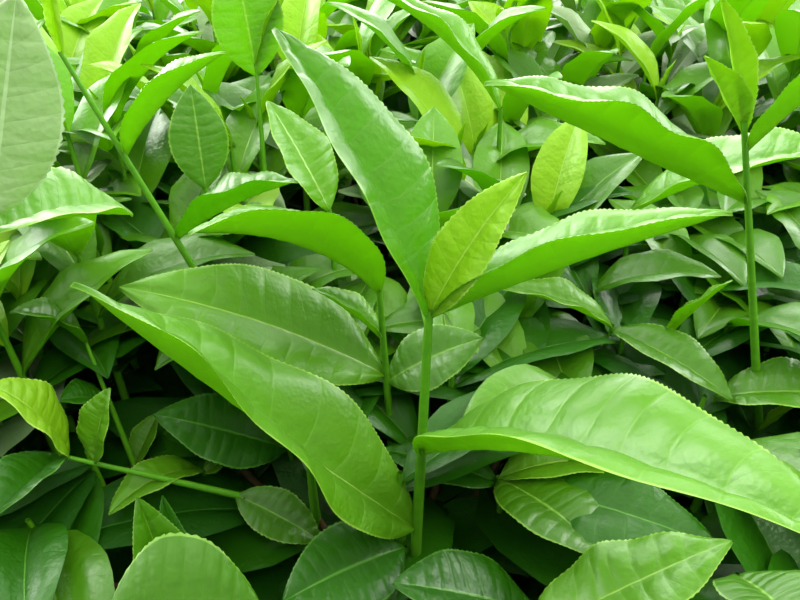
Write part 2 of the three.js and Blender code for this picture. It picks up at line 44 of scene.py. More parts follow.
# The crown: a flat table with a round shoulder, over a side that pulls in to its foot.
TABLE_HEIGHT = 690
WIDEST_HEIGHT = 450
FOLIAGE_FOOT = 300
CROWN_RADIUS = 490
FOOT_RADIUS = 415
SHOULDER_POWER = 3.4
MIDDLE_RADIUS = 130
RING_RADIUS = 300
RING_COUNT = 6
RIM_COUNT = 12
FRONT = -90

# The frame of the bush.
TRUNK_HEIGHT = 142
TRUNK_RADIUS = 37
FLARE_RADIUS = 58
FLARE_HEIGHT = 55
TRUNK_LEAN = 14
FORK_SWELL = 0.12
GROUND_CUT = 6
BOUGH_FOOT_RADIUS = 15
BOUGH_TIP_RADIUS = 7
BRANCH_FOOT_RADIUS = 9
BRANCH_TIP_RADIUS = 5.5
BRANCH_START = 0.42

# Shoots and leaves.
SHOOT_DEPTH = 56
CORE_INSET = 30
LEAVES_ON_SHOOT = 4
LEAF_LENGTH = 104
TOP_LEAF_LENGTH = 72
LEAF_SLENDERNESS = 0.42
GOLDEN_TURN = 137.5
NEXT_TURN = 49
SEAT = 0.985
TRIES = 7
LOW_FRONT = 50
CROWDED = 3
CROWDED_SHOOTS = 2
CROWDED_LEAVES = 3
STEP_ALONG, STEP_DOWN = 0.7548776662, 0.569840291
BARE_END = 0.05
STEEP = 0.7

# How far shoots stand up out of the crown, and how they and their leaves lie: on the table, on the
# side, and on the low masses in front. Pairs are the least and the most.
TABLE_RISE, SIDE_RISE, LOW_RISE = (8, 70), (0, 22), (-22, -6)
TABLE_LIFT, SIDE_LIFT = 0.7, 0.3
TABLE_OPEN, SIDE_OPEN = 1, 0.75
CLIMB, LOW_CLIMB, TOP_CLIMB, CLIMB_SPREAD = 22, -6, 39, 12
LENGTH_SPREAD = (0.9, 1.1)
DROOP = (34, 50)
FOLD = (22, 36)
ROLL = 20

# What each kind of mass holds, as in the solids, and how many finer shoots fill it here.
MIDDLE = dict(hub_radius=0, hub_height=560, core_lean=0, tip_radius=0, tip_height=470, shoots=4,
              finer=24, inner_leaves=5, inner_twigs=14, inner_heights=(505, 610))
RING = dict(hub_radius=215, hub_height=560, core_lean=0, tip_radius=200, tip_height=448, shoots=4,
            finer=26, inner_leaves=5, inner_twigs=32, inner_heights=(430, 600))
RIM = dict(hub_radius=381, hub_height=490, core_lean=45, tip_radius=330, tip_height=312, shoots=6,
           finer=48, inner_leaves=4, inner_twigs=26, inner_heights=(310, 580))
FINER_LEAVES = 5
FINER_SIZE = 0.92
FINER_BREADTH = 1.12
SOLID_SPREAD = 0.84
FINER_SPREAD = 1.0
WALL_OVERLAP = 42

# The shoots that stand highest at the front: foot, tip, and each leaf as share of the shoot,
# heading, rise, droop, length, width, fold, roll, twist and tint (0 youngest to 4 oldest, 5 painted
# sheen).
# Most headings, rises and lengths were worked out beforehand, from places in the photograph.
PLACED_SHOOTS = [
    ((5, -235, 560), (9, -242, 752), [
        (0.43, -173, 48, -6, 161, 56, 34, 40, -80, 1),
        (0.66, -48, 44, 30, 150, 60, 40, 6, 0, 1),
        (1.0, 146, 61, 10, 96, 46, 36, -10, 0, 2),
        (1.0, -13, 34, 7, 91, 34, 45, 14, 0, 1),
        (0.985, -14, 71, 14, 58, 19, 26, -62, 0, 0)]),
    ((-2, -185, 600), (-8, -190, 724), [
        (1.0, -160, 56, 50, 80, 42, 46, -24, 0, 1),
        (0.8, 175, 50, 20, 36, 18, 40, -10, 0, 1),
        (0.61, 1, 40, 20, 46, 27, 10, -30, 0, 2),
        (0.64, -175, 38, 22, 112, 46, 16, 24, 0, 1)]),
    ((168, -178, 630), (117, -185, 790), [
        (1.0, 160, 70, 5, 46, 14, 50, -50, 0, 0),
        (0.97, 170, 54, 0, 32, 16, 40, -40, 0, 0),
        (0.93, -40, 60, 10, 60, 22, 45, 0, 0, 1),
        (0.8, 178, 22, -4, 108, 52, 46, -8, 0, 1)]),
    ((-70, -175, 690), (-112, -180, 812), [
        (1.0, 100, 80, 0, 30, 8, 60, 0, 0, 0),
        (0.69, 10, 54, 26, 54, 26, 46, 8, 0, 1),
        (0.4, 5, 35, 20, 54, 34, 40, 15, 0, 2)]),
    ((-178, -300, 640), (-100, -266, 800), [
        # Tint 5: painted sheen, the sky's pale reflection painted into this leaf's colour.
        (1.0, 42, 68, 0, 54, 27, 10, -60, 0, 5),
        (0.96, 53, -7, 20, 43, 33, 40, -10, 0, 1)]),
    ((-68, -85, 690), (-68, -74, 774), [
        (1.0, 24, 62, 5, 52, 22, 45, 0, 0, 0),
        (0.93, 131, 83, 5, 55, 34, 22, 20, 0, 1)]),
    ((-66, -220, 641), (-128, -233, 679), [
        (0.03, -22, -8, 16, 41, 21, 18, -18, 0, 2),
        (0.81, 49, 70, 10, 32, 20, 26, 0, 0, 1),
        (0.97, -103, 18, 10, 37, 26, 40, 0, 0, 3),
        (0.94, -160, 89, 40, 45, 30, 20, 0, 0, 0)]),
    ((-40, -185, 560), (-49, -196, 645), [
        (1.0, -169, 34, 8, 60, 32, 12, 26, 0, 3)]),
    ((88, -148, 600), (97, -154, 680), [
        (1.0, 177, 33, 25, 56, 26, 35, -5, 0, 1),
        (0.97, -45, 5, 20, 60, 28, 30, 0, 0, 2)]),
    ((120, -150, 600), (119, -152, 664), [
        (1.0, -45, 69, 10, 58, 16, 35, 0, 0, 1)]),
    ((50, -205, 560), (41, -214, 646), [
        (1.0, -50, 20, 30, 58, 38, 14, 8, 0, 2),
        (1.0, 5, 30, 60, 60, 26, 30, 0, 0, 1),
        (0.95, 168, 20, 20, 52, 28, 20, 0, 0, 3),
        (0.95, -29, 18, 20, 89, 40, 10, -6, 0, 3)]),
    ((-78, -268, 540), (-74, -280, 605), [
        (0.85, 130, 84, 10, 98, 34, 30, 0, 0, 2),
        (0.7, 109, 79, 8, 97, 22, 30, 0, 0, 3),
        (0.9, 32, 79, 30, 55, 30, 20, 0, 0, 4)]),
    ((30, -262, 540), (52, -265, 630), [
        (1.0, -172, 34, 12, 62, 36, 14, 0, 0, 3)]),
    ((-30, -134, 660), (-31, -134, 729), [
        (1.0, 142, 56, 8, 54, 34, 22, -10, 0, 1)]),
    ((-86, -118, 640), (-88, -120, 733), [
        (1.0, 104, 70, 10, 46, 26, 10, -10, 0, 2)]),
    ((54, -55, 660), (51, -60, 747), [
        (1.0, 158, 55, 40, 92, 34, 38, -10, 0, 1)]),
    ((118, -105, 640), (110, -107, 713), [
        (1.0, -41, 45, 20, 100, 42, 36, -14, 0, 1)]),
    ((142, -180, 600), (137, -185, 665), [
        (1.0, -20, 30, 30, 60, 34, 25, 0, 0, 2)]),
    ((-84, -190, 560), (-85, -205, 640), [
        (1.0, -127, 54, 70, 50, 20, 24, 0, 0, 1),
        (0.97, 37, 15, 5, 11, 9, 20, 0, 0, 1)]),
    ((-118, -196, 630), (-131, -182, 694), [
        (0.05, 61, 44, 10, 25, 14, 30, 0, 0, 2),
        (0.97, -145, 68, 40, 35, 22, 34, 0, 0, 2),
        (0.55, -137, 47, 30, 22, 22, 20, 0, 0, 3)]),
    ((2, -215, 580), (2, -242, 637), [
        (1.0, -143, 23, 20, 56, 34, 14, 20, 0, 3)]),
    ((140, -250, 590), (110, -280, 673), [
        (1.0, -81, 37, 20, 37, 34, 20, 0, 0, 2)]),
    ((175, -150, 590), (161, -185, 644), [
        (1.0, -21, 62, 0, 24, 9, 30, 0, 0, 0)]),
    ((-100, -285, 560), (-88, -304, 680), [
        (1.0, 14, 3, 16, 47, 50, 26, -24, 0, 2)]),
    ((34, -270, 540), (38, -297, 663), [
        (0.97, 9, 40, 16, 74, 36, 8, 10, 0, 1)]),
]

# The camera, from the photograph's frame and viewing angle.
IMAGE_WIDTH = 800
IMAGE_HEIGHT = 600
SENSOR_WIDTH = 36
FOCAL_PIXELS = 768
CAMERA_PLACE = np.array((0, -434, 890))
CAMERA_DIP = 35

UP = np.array((0.0, 0.0, 1.0))


def lerp(a, b, share):
    return a + (b - a) * share


def unit(vector):
    return vector / np.linalg.norm(vector)


# The growth rule, as in the solids.

def seeded(*seeds):
    """Numbers from 0 to 1 that come out the same on every run for the same seeds."""
    mask = 0xFFFFFFFF
    state = 7
    for seed in seeds:
        state = (state * 1009 + seed) & mask

    def draw():
        nonlocal state
        state = (state + 0x6D2B79F5) & mask
        mixed = ((state ^ (state >> 15)) * (1 | state)) & mask
        mixed = ((mixed + (((mixed ^ (mixed >> 7)) * (61 | mixed)) & mask)) & mask) ^ mixed
        return (mixed ^ (mixed >> 14)) / 4294967296

    return draw


def around(radius, bearing, height):
    """The point at a radius, bearing and height from the middle of the bush."""
    angle = math.radians(bearing)
    return np.array((radius * math.cos(angle), radius * math.sin(angle), height))


def crown_outline():
    """The crown's outline from its middle to its foot, with the area that it sweeps."""
    steps, turn, places, area = 240, 130, [], 0
    power = 2 / SHOULDER_POWER
    for i in range(steps + 1):
        angle = i / steps * turn
        below = max(0, (angle - 90) / (turn - 90))
        a = math.radians(min(angle, 90))
        rise = (TABLE_HEIGHT - WIDEST_HEIGHT) * max(0, math.cos(a)) ** power
        radius = CROWN_RADIUS * math.sin(a) ** power - (CROWN_RADIUS - FOOT_RADIUS) * below ** 1.5
        height = WIDEST_HEIGHT + rise - (WIDEST_HEIGHT - FOLIAGE_FOOT) * below
        if places:
            last = places[-1]
            area += math.hypot(radius - last[0], height - last[1]) * (radius + last[0]) / 2
        places.append((radius, height, area))
    return places


OUTLINE = crown_outline()
WHOLE_AREA = OUTLINE[-1][2]


def crown_place(share):
    """Radius, height and the way out of the crown at a share of its area."""
    wanted = share * WHOLE_AREA
    i = 1
    while i < len(OUTLINE) - 1 and OUTLINE[i][2] < wanted:
        i += 1
    a, b = OUTLINE[i - 1], OUTLINE[i]
    part = min(max((wanted - a[2]) / (b[2] - a[2]), 0), 1)
    length = math.hypot(b[0] - a[0], b[1] - a[1])
    return (lerp(a[0], b[0], part), lerp(a[1], b[1], part),
            (a[1] - b[1]) / length, (b[0] - a[0]) / length)


def share_within(radius):
    return next(place[2] for place in OUTLINE if place[0] >= radius) / WHOLE_AREA


def crown_masses():
    """Every mass of foliage with its own space: a span of bearings and of radii."""
    masses = [dict(MIDDLE, name="foliage_middle", bearing=FRONT, spread=180, inner=0,
                   outer=MIDDLE_RADIUS, start=0, end=share_within(MIDDLE_RADIUS))]
    for i in range(RING_COUNT):
        masses.append(dict(RING, name=f"foliage_ring_{i + 1}", bearing=FRONT + i * 360 / RING_COUNT,
                           spread=180 / RING_COUNT, inner=MIDDLE_RADIUS, outer=RING_RADIUS,
                           start=share_within(MIDDLE_RADIUS), end=share_within(RING_RADIUS)))
    for i in range(RIM_COUNT):
        masses.append(dict(RIM, name=f"foliage_rim_{i + 1}", bearing=FRONT + (i + 0.5) * 360 / RIM_COUNT,
                           spread=180 / RIM_COUNT, inner=RING_RADIUS, outer=2 * CROWN_RADIUS,
                           start=share_within(RING_RADIUS), end=1))
    for seed, mass in enumerate(masses):
        mass["seed"] = seed
        mass["hub"] = around(mass["hub_radius"], mass["bearing"], mass["hub_height"])
        mass["placed"] = [shoot for shoot in PLACED_SHOOTS if in_space(mass, np.array(shoot[0]), 0)]
        off_front = abs((mass["bearing"] - FRONT + 180) % 360 - 180)
        mass["low"] = mass["inner"] == RING_RADIUS and off_front < LOW_FRONT
        mass["leaves"] = LEAVES_ON_SHOOT
        if len(mass["placed"]) >= CROWDED:
            mass["shoots"] = CROWDED_SHOOTS
            mass["leaves"] = CROWDED_LEAVES
            mass["low"] = True
    return masses


def in_space(mass, point, gap):
    """True if a point is inside a mass's space by a gap, which is below zero to reach past its walls."""
    radius = math.hypot(point[0], point[1])
    if radius > mass["outer"] - gap or (mass["inner"] and radius < mass["inner"] + gap):
        return False
    if mass["spread"] == 180:
        return True
    turn = abs((math.degrees(math.atan2(point[1], point[0])) - mass["bearing"] + 180) % 360 - 180)
    return radius * math.sin(math.radians(max(mass["spread"] - turn, -90))) > gap


def free_shoot(mass, i):
    """The i-th shoot of a mass: an even, seeded spread over its part of the crown's surface."""
    random = seeded(mass["seed"], i, 2)
    along = (0.5 + i * STEP_ALONG) % 1
    down = BARE_END + (1 - 2 * BARE_END) * ((0.5 + i * STEP_DOWN) % 1)
    radius, height, out, upward = crown_place(lerp(mass["start"], mass["end"], down))
    spread = mass["spread"] * (SOLID_SPREAD if i < mass["shoots"] else FINER_SPREAD)
    bearing = mass["bearing"] + spread * (2 * along - 1)
    outward = around(out, bearing, upward)
    on_table = upward > STEEP
    least, most = SIDE_RISE if not on_table else LOW_RISE if mass["low"] else TABLE_RISE
    rise = lerp(least, most, random())
    way = unit(outward + UP * (TABLE_LIFT if on_table else SIDE_LIFT))
    depth = SHOOT_DEPTH + mass["core_lean"]
    foot = around(radius, bearing, height) - way * depth
    return dict(foot=foot, tip=foot + way * (depth + rise), bearing=bearing, rise=rise,
                bare=(depth - CORE_INSET) / (depth + rise), turn=360 * random(),
                open=TABLE_OPEN if on_table else SIDE_OPEN,
                climb=LOW_CLIMB if mass["low"] else CLIMB)


def free_leaf(mass, shoot, i, j, attempt, count, size, breadth):
    """The j-th leaf of a free shoot, turned on from the one below it."""
    random = seeded(mass["seed"], i, j + 3, attempt)
    up = j / (count - 1)
    turn = (shoot["turn"] + j * GOLDEN_TURN + attempt * NEXT_TURN) % 360 - 180
    length = lerp(LEAF_LENGTH, TOP_LEAF_LENGTH, up) * lerp(*LENGTH_SPREAD, random()) * size
    return dict(base=lerp(shoot["foot"], shoot["tip"], lerp(shoot["bare"], SEAT, up)),
                heading=shoot["bearing"] + shoot["open"] * turn,
                rise=shoot["climb"] + TOP_CLIMB * up + CLIMB_SPREAD * random(),
                droop=lerp(*DROOP, random()), fold=lerp(*FOLD, random()),
                length=length, width=length * LEAF_SLENDERNESS * breadth,
                roll=ROLL * (random() - 0.5), twist=0)


# Shapes of leaves and stems.

def leaf_frames(leaf, shares):
    """Midrib points, side and upward directions of a leaf at shares of its length."""
    grid = np.linspace(0, 1, 25)
    rise = np.radians(leaf["rise"] - leaf["droop"] * grid)
    heading = math.radians(leaf["heading"])
    ahead = np.stack((np.cos(rise) * math.cos(heading), np.cos(rise) * math.sin(heading),
                      np.sin(rise)), 1)
    steps = (ahead[1:] + ahead[:-1]) / 2 * leaf["length"] / (len(grid) - 1)
    mids = leaf["base"] + np.vstack((np.zeros(3), np.cumsum(steps, 0)))
    flat = np.array((math.sin(heading), -math.cos(heading), 0.0))
    roll = np.radians(leaf["roll"] + leaf["twist"] * grid)[:, None]
    lift = np.cross(flat, ahead)
    sides = flat * np.cos(roll) + lift * np.sin(roll)
    overs = lift * np.cos(roll) - flat * np.sin(roll)

    def at(values):
        return np.stack([np.interp(shares, grid, values[:, axis]) for axis in range(3)], -1)

    return at(mids), at(sides), at(overs)


def leaf_tip(leaf):
    return leaf_frames(leaf, np.array(1.0))[0]


# Across a leaf, from midrib to edge: placed leaves, long and short, then the others by distance.
FINE_ACROSS = (0.018, 0.18, 0.34, 0.5, 0.66, 0.82, 0.98, 1.0)
SHORT_ACROSS = (0.035, 0.3, 0.62, 0.97, 1.0)
NEAR_ACROSS = (0.022, 0.36, 0.7, 1.0)
MIDDLE_ACROSS = (0.025, 0.55, 1.0)
FAR_ACROSS = (0.0, 0.55, 1.0)
SHORT_LEAF = 66
VEIN_PAIRS = 9
VEIN_STRIP = 0.028
VEIN_DRIFT = 0.022
CHEVRON = 0.16
BLADE_THICKNESS = 0.4
TOOTH = 0.55
TOOTH_ROW = 0.95
STALK_HALF = 0.8
STEM_LEAST = 1.1
STEM_GROWTH = 0.01
LEAF_PARTS = 4
TOP, UNDER, RIB, VEIN = range(LEAF_PARTS)

# The form of a blade: how its outline swells, how it folds along its midrib, and the waves, swelling
# between veins and curl on it, as shares of its length (waves) or of its width (the others).
OUTLINE_SHIFT, OUTLINE_FULLNESS = 0.9, 0.85
STALK_TAPER = 0.7
FOLD_AT_RIB, FOLD_EASE = 1.45, 0.55
WAVE = (0.008, 0.022)
WAVES_RIGHT, WAVES_LEFT = 16.3, 19.5
SWELL = 0.019
CURL = 0.03
RIB_REACH = 0.06
FINE_RIB, PLAIN_RIB, RIB_TAPER, RIB_ABOVE = 0.9, 0.5, 0.8, 0.3


def across(halves):
    """Places across a whole leaf, from its left edge at -1 to its right one at 1."""
    right = list(halves) if halves[0] else list(halves[1:])
    middle = [] if halves[0] else [0.0]
    return np.array([-s for s in reversed(right)] + middle + right)


def vein_rows(per_vein):
    """Rows along a leaf, with a narrow one at each side vein."""
    ends = np.append(np.linspace(0, 1 - VEIN_STRIP, per_vein)[1:], 1.0)
    stretches = [(k + ends) / (VEIN_PAIRS + 1) for k in range(VEIN_PAIRS + 1)]
    return np.concatenate([[0.0]] + stretches)


def sheet_faces(rows, columns):
    """Four-sided faces of a blade's upper sheet, then of its lower one."""
    i, j = np.meshgrid(np.arange(rows), np.arange(columns - 1), indexing="ij")
    first = (i * columns + j).ravel()
    upper = np.stack((first, first + 1, first + columns + 1, first + columns), 1)
    return np.vstack((upper, upper[:, [0, 3, 2, 1]] + (rows + 1) * columns))


def blade(leaf, rows, halves, fine=False):
    """A thin leaf blade: corners, four-sided faces, and the kind and blade place of each."""
    random = seeded(int(abs(leaf["base"][0]) * 100), int(leaf["length"] * 100))
    wave = leaf["length"] * lerp(*WAVE, random())
    phases = 2 * np.pi * random(), 2 * np.pi * random()
    spread = across(halves)
    per_vein = rows // (VEIN_PAIRS + 1)
    row = (vein_rows(per_vein) if fine else np.linspace(0, 1, rows + 1))[:, None]
    size = np.abs(spread)[None, :]
    right = spread[None, :] > 0
    middle_most = 4 * row * (1 - row)
    shares = row + CHEVRON / 4 * middle_most * size ** 1.15
    if fine:
        drift = np.where(right, np.sin(10 * row + phases[0]), np.sin(11 * row + phases[1]))
        shares = shares + VEIN_DRIFT * drift * middle_most * np.minimum(1, 3 * size)
    mids, sides, overs = leaf_frames(leaf, shares)

    # Half the width: narrow at both ends, never thinner than the stalk, with teeth along the edge.
    swollen = np.sin(np.pi * np.clip(shares, 0, 1) ** OUTLINE_SHIFT) ** OUTLINE_FULLNESS
    half = np.maximum(leaf["width"] / 2 * swollen, STALK_HALF * (1 - STALK_TAPER * shares))
    if fine:
        tooth = TOOTH * (np.arange(rows + 1) % 2)[:, None] * np.sin(np.pi * row) ** 0.5
        half = half + np.where(size > 0.999, tooth, 0)

    # The blade folds up along its midrib, waves, swells between its veins and curls at its edge.
    bend = math.radians(leaf["fold"]) * (FOLD_AT_RIB - FOLD_EASE * size)
    flat = size * np.cos(bend) * half
    lift = size * np.sin(bend) * half
    ripple = np.where(right, np.sin(WAVES_RIGHT * shares + phases[0]),
                      np.sin(WAVES_LEFT * shares + phases[1]))
    lift = lift + wave * ripple * size ** 2 * np.sin(np.pi * row)
    if fine:
        swell = np.abs(np.sin(np.pi * (VEIN_PAIRS + 1) * row)) ** 0.7
        uneven = 0.7 + 0.5 * np.sin(14.5 * row + phases[0]) * np.sin(10.7 * spread + phases[1])
        between = np.sqrt(np.clip(4 * size * (1 - size), 0, 1))
        lift = lift + leaf["width"] * SWELL * swell * uneven * between
    lift = lift - leaf["width"] * CURL * size ** 4
    place = mids + sides * (np.sign(spread)[None, :] * flat)[..., None] + overs * lift[..., None]

    thick = BLADE_THICKNESS / 2 * (1 - size ** 6) * np.sin(np.pi * np.clip(row, 0.02, 0.98)) ** 0.3
    rib = np.where(size < RIB_REACH, (FINE_RIB if fine else PLAIN_RIB) * (1 - RIB_TAPER * row), 0)
    upper = place + overs * (thick - RIB_ABOVE * rib)[..., None]
    lower = place - overs * (thick + rib)[..., None]
    corners = np.vstack((upper.reshape(-1, 3), lower.reshape(-1, 3)))

    kind = np.full((rows, len(spread) - 1), TOP)
    if fine:
        kind[np.arange(rows) % per_vein == per_vein - 1, :] = VEIN
        kind[:, [0, -1]] = RIB
    if halves[0]:
        kind[:, len(spread) // 2 - 1] = RIB
    kinds = np.concatenate((kind.ravel(), np.where(kind == RIB, RIB, UNDER).ravel()))
    on_blade = np.stack((np.broadcast_to((spread + 1) / 2, shares.shape), np.clip(shares, 0, 1)), -1)
    on_blade = on_blade.reshape(-1, 2)
    return corners, sheet_faces(rows, len(spread)), kinds, np.vstack((on_blade, on_blade))


def tube(points, radii, sides=6):
    """A round stem along points; its ends are left open."""
    points = np.asarray(points, float)
    ahead = np.gradient(points, axis=0)
    ahead /= np.linalg.norm(ahead, axis=1)[:, None]
    reference = np.array((1.0, 0.0, 0.0)) if abs(ahead[0][0]) < 0.9 else np.array((0.0, 1.0, 0.0))
    side = reference - ahead * (ahead @ reference)[:, None]
    side /= np.linalg.norm(side, axis=1)[:, None]
    over = np.cross(side, ahead)
    turn = np.arange(sides) * 2 * np.pi / sides
    ring = (side[:, None, :] * np.cos(turn)[None, :, None]
            + over[:, None, :] * np.sin(turn)[None, :, None])
    corners = points[:, None, :] + ring * np.asarray(radii, float)[:, None, None]
    rows = len(points)
    i, j = np.meshgrid(np.arange(rows - 1), np.arange(sides), indexing="ij")
    a = (i * sides + j).ravel()
    b = (i * sides + (j + 1) % sides).ravel()
    quads = np.stack((a, a + sides, b + sides, b), 1)
    round_stem, along_stem = np.arange(sides)[None, :] / sides, np.linspace(0, 1, rows)[:, None]
    place = np.stack(np.broadcast_arrays(round_stem, along_stem), -1)
    return corners.reshape(-1, 3), quads, place.reshape(-1, 2)


class Heap:
    """Collects many small shapes and joins them into one mesh."""

    def __init__(self):
        self.corners, self.faces, self.slots, self.places, self.count = [], [], [], [], 0

    def add(self, corners, faces, slots, places):
        self.corners.append(corners)
        self.faces.append(faces + self.count)
        self.slots.append(np.broadcast_to(slots, len(faces)))
        self.places.append(places)
        self.count += len(corners)

    def piece(self, name, materials, slot, nodes):
        faces = np.vstack(self.faces).astype(np.int32)
        mesh = bpy.data.meshes.new(name)
        mesh.vertices.add(self.count)
        mesh.vertices.foreach_set("co", (np.vstack(self.corners) * MM).astype(np.float32).ravel())
        mesh.loops.add(faces.size)
        mesh.loops.foreach_set("vertex_index", faces.ravel())
        mesh.polygons.add(len(faces))
        mesh.polygons.foreach_set("loop_start", np.arange(0, faces.size, 4, dtype=np.int32))
        mesh.polygons.foreach_set("material_index", np.concatenate(self.slots).astype(np.int32))
        mesh.polygons.foreach_set("use_smooth", np.ones(len(faces), bool))
        layer = mesh.uv_layers.new(name="blade")
        layer.data.foreach_set("uv", np.vstack(self.places)[faces.ravel()].astype(np.float32).ravel())
        for material in materials:
            mesh.materials.append(material)
        mesh.update(calc_edges=True)
        mesh.validate()
        piece = bpy.data.objects.new(name, mesh)
        bpy.context.scene.collection.objects.link(piece)
        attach(piece, "root")
        if nodes:
            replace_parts(piece, *nodes)
        print(name, len(faces) * 2, "triangles")
        return piece


# Materials.

def colour(code):
    """A colour named by its screen code, as the shader's own linear light."""
    values = [int(code[i:i + 2], 16) / 255 for i in (1, 3, 5)]
    return [v / 12.92 if v <= 0.04045 else ((v + 0.055) / 1.055) ** 2.4 for v in values] + [1.0]


def node(tree, kind, links={}, **settings):
    """Adds a shader node; a link is another node's output or a plain number, by input name or place."""
    made = tree.nodes.new(kind)
    for key, value in settings.items():
        setattr(made, key, value)
    for key, source in links.items():
        if isinstance(source, bpy.types.NodeSocket):
            tree.links.new(source, made.inputs[key])
        else:
            made.inputs[key].default_value = source
    return made


def new_material(name, base, roughness):
    material = bpy.data.materials.new(name)
    material.use_nodes = True
    shader = material.node_tree.nodes["Principled BSDF"]
    shader.inputs["Base Color"].default_value = colour(base)
    shader.inputs["Roughness"].default_value = roughness
    return material, material.node_tree, shader


def per_metre(size):
    """How often a pattern of a size in millimetres repeats in a metre."""
    return 1 / (size * MM)


# A waxy cuticle over a soft blade: fine cells, larger puckers between the side veins, and light that
# comes through from the far side. The cells of a real leaf are far finer; they are drawn to show.
CELL_SIZE = 1.9
PUCKER_SIZE = 5.5
VEIN_SLANT = 0.22
VEIN_CREASE = 0.35
SWELL_HEIGHT, CELL_HEIGHT, PUCKER_HEIGHT = 0.6, 0.5, 2.2
CUTICLE_IOR = 1.5
CUTICLE_SPECULAR = 0.8
SOFT_UNDER_WAX = 0.1
SHINE_TINT = "#ebfddb"


def leaf_material(name, base, through, roughness, relief, glow, wax):
    material, tree, shader = new_material(name, base, roughness + SOFT_UNDER_WAX)
    shader.inputs["IOR"].default_value = CUTICLE_IOR
    shader.inputs["Specular IOR Level"].default_value = CUTICLE_SPECULAR
    shader.inputs["Specular Tint"].default_value = colour(SHINE_TINT)
    shader.inputs["Coat Weight"].default_value = wax
    shader.inputs["Coat Roughness"].default_value = roughness
    shader.inputs["Coat IOR"].default_value = CUTICLE_IOR
    blade_place = node(tree, "ShaderNodeUVMap", uv_map="blade").outputs[0]
    place = node(tree, "ShaderNodeSeparateXYZ", {0: blade_place})
    off_rib = node(tree, "ShaderNodeMath", {0: place.outputs[0], 1: 0.5},
                   operation="SUBTRACT").outputs[0]
    off_rib = node(tree, "ShaderNodeMath", {0: off_rib}, operation="ABSOLUTE").outputs[0]
    slant = node(tree, "ShaderNodeMath", {0: off_rib, 1: VEIN_SLANT}, operation="MULTIPLY").outputs[0]
    along = node(tree, "ShaderNodeMath", {0: place.outputs[1], 1: slant},
                 operation="SUBTRACT").outputs[0]
    veins = node(tree, "ShaderNodeMath", {0: along, 1: VEIN_PAIRS * 2.0},
                 operation="MULTIPLY").outputs[0]
    veins = node(tree, "ShaderNodeMath", {0: veins, 1: 1.0}, operation="PINGPONG").outputs[0]
    swell = node(tree, "ShaderNodeMath", {0: veins, 1: VEIN_CREASE}, operation="POWER").outputs[0]
    where = node(tree, "ShaderNodeTexCoord").outputs["Object"]
    cells = node(tree, "ShaderNodeTexVoronoi", {"Vector": where, "Scale": per_metre(CELL_SIZE)},
                 feature="F1").outputs["Distance"]
    puckers = node(tree, "ShaderNodeTexNoise", {"Vector": where, "Scale": per_metre(PUCKER_SIZE),
                                                "Detail": 3.0}).outputs["Fac"]
    height = node(tree, "ShaderNodeMath", {0: swell, 1: SWELL_HEIGHT}, operation="MULTIPLY").outputs[0]
    height = node(tree, "ShaderNodeMath", {0: cells, 1: CELL_HEIGHT, 2: height},
                  operation="MULTIPLY_ADD").outputs[0]
    height = node(tree, "ShaderNodeMath", {0: puckers, 1: PUCKER_HEIGHT, 2: height},
                  operation="MULTIPLY_ADD").outputs[0]
    bump = node(tree, "ShaderNodeBump", {"Height": height, "Strength": relief, "Distance": 0.001})
    tree.links.new(bump.outputs[0], shader.inputs["Normal"])
    lit = node(tree, "ShaderNodeBsdfTranslucent", {"Color": colour(through)})
    mix = node(tree, "ShaderNodeMixShader", {0: glow, 1: shader.outputs[0], 2: lit.outputs[0]})
    tree.links.new(mix.outputs[0], tree.nodes["Material Output"].inputs["Surface"])
    return material


# Young stem skin: fine streaks and small pale spots, smooth and a little waxy when green, and a
# dull thin bark when brown.
STREAK_SIZE = 3.8


def stem_material(name, base, dark, roughness):
    material, tree, shader = new_material(name, base, roughness)
    where = node(tree, "ShaderNodeTexCoord").outputs["Object"]
    streaks = node(tree, "ShaderNodeTexNoise", {"Vector": where, "Scale": per_metre(STREAK_SIZE),
                                                "Detail": 4.0}).outputs["Fac"]
    shade = node(tree, "ShaderNodeMix", {0: streaks, 6: colour(dark), 7: colour(base)}, data_type="RGBA")
    tree.links.new(shade.outputs[2], shader.inputs["Base Color"])
    bump = node(tree, "ShaderNodeBump", {"Height": streaks, "Strength": 0.5, "Distance": 0.0006})
    tree.links.new(bump.outputs[0], shader.inputs["Normal"])
    return material


# Old tea bark: grey-brown, cracked lengthways, rough and dull, with pale grey patches of lichen.
CRACK_SIZE = 9
GRAIN_SIZE = 5.5
LICHEN_SIZE = 38


